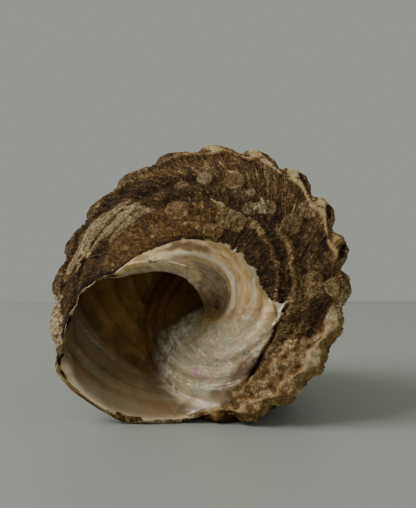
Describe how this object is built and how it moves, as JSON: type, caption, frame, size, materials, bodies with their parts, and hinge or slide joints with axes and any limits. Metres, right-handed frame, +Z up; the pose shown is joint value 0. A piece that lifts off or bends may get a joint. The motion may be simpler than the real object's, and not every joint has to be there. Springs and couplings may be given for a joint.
{
  "type": "turban shell",
  "caption": "Large wavy-keeled turban sea shell with a nacre-lined mouth, lying on its side as a shelf or table piece.",
  "frame": {"origin": "middle of the bounding box at the level of the surface that the shell lies on", "axes": "+Z up, -Y towards the viewer that the mouth and base face, +X to that viewer's right"},
  "size_m": [0.1056, 0.0816, 0.0952],
  "materials": {
    "shell": "rough brown fibrous skin over chalky tan shell, worn cream on the keel, glossy mother-of-pearl in the mouth"
  },
  "bodies": {
    "root": {"shell": "shell"}
  },
  "joints": []
}
